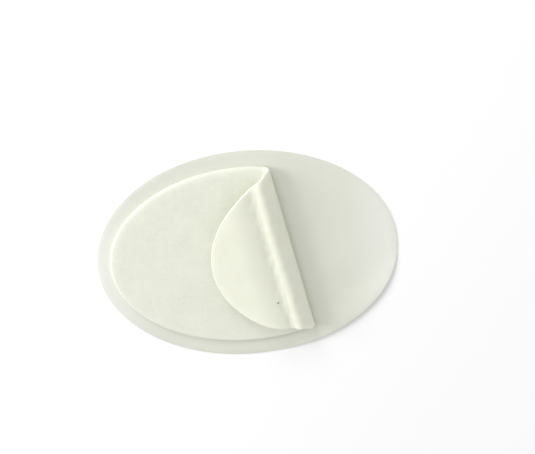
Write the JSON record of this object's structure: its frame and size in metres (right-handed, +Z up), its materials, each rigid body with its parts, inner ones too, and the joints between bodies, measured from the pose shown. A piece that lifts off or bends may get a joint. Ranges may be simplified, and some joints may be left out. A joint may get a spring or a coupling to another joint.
{
  "type": "blister pad",
  "caption": "Oval cream blister pad on a milky release liner, one end peeled off and folded back over its own face.",
  "frame": {"origin": "centre of the release liner's underside, on the surface that it lies on", "axes": "+X along the oval's long axis towards the end that the pad is peeled from, +Y across it, +Z up from the surface"},
  "size_m": [0.0766, 0.0546, 0.0063],
  "materials": {
    "pad_gel": "cream-white soft gel pad with a fine-grained matt face and a satin self-adhesive underside",
    "liner_film": "milky, slightly see-through release film with a soft sheen"
  },
  "bodies": {
    "root": {"pad": "pad_gel", "release_liner": "liner_film"}
  },
  "joints": []
}
